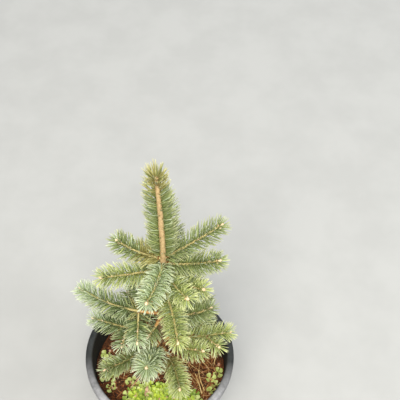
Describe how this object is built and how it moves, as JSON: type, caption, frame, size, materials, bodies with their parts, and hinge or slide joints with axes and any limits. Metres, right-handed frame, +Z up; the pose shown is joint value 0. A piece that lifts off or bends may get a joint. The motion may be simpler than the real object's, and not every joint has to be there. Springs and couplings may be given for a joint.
{
  "type": "potted blue spruce",
  "caption": "Young blue spruce with an upright leader and whorls of needled side shoots, growing in a round nursery pot of compost with a low green mat.",
  "frame": {"origin": "centre of the pot's flat underside, which is the face that the plant stands on", "axes": "+Z is up along the trunk, +X is to the right and -Y is to the front, as the picture shows it"},
  "size_m": [0.2414, 0.2281, 0.6543],
  "materials": {
    "pot": "moulded, dusty",
    "compost": "coarse fibrous peat",
    "green_mat": "small soft leaves",
    "bark": "rough young bark",
    "needles": "waxy needles"
  },
  "bodies": {
    "root": {"pot": "pot", "compost": "compost", "green_mat": "green_mat", "trunk": "bark", "leader_foliage": "needles", "top_right_foliage": "needles", "top_back_foliage": "needles", "top_left_back_foliage": "needles", "top_left_foliage": "needles", "top_front_foliage": "needles", "top_right_low_foliage": "needles", "upper_front_foliage": "needles", "upper_right_foliage": "needles", "upper_front_low_foliage": "needles", "upper_back_foliage": "needles", "upper_back_left_foliage": "needles", "upper_back_right_foliage": "needles", "middle_right_bough": "bark", "middle_right_foliage": "needles", "middle_left_bough": "bark", "middle_left_foliage": "needles", "middle_back_bough": "bark", "middle_back_foliage": "needles", "middle_back_right_bough": "bark", "middle_back_right_foliage": "needles", "middle_front_bough": "bark", "middle_front_foliage": "needles", "middle_back_left_bough": "bark", "middle_back_left_foliage": "needles", "low_right_bough": "bark", "low_right_foliage": "needles", "low_left_bough": "bark", "low_left_foliage": "needles", "low_front_left_bough": "bark", "low_front_left_foliage": "needles", "low_front_bough": "bark", "low_front_foliage": "needles", "low_front_right_bough": "bark", "low_front_right_foliage": "needles", "low_right_front_bough": "bark", "low_right_front_foliage": "needles", "low_back_left_bough": "bark", "low_back_left_foliage": "needles", "low_back_bough": "bark", "low_back_foliage": "needles", "low_back_right_bough": "bark", "low_back_right_foliage": "needles"}
  },
  "joints": []
}
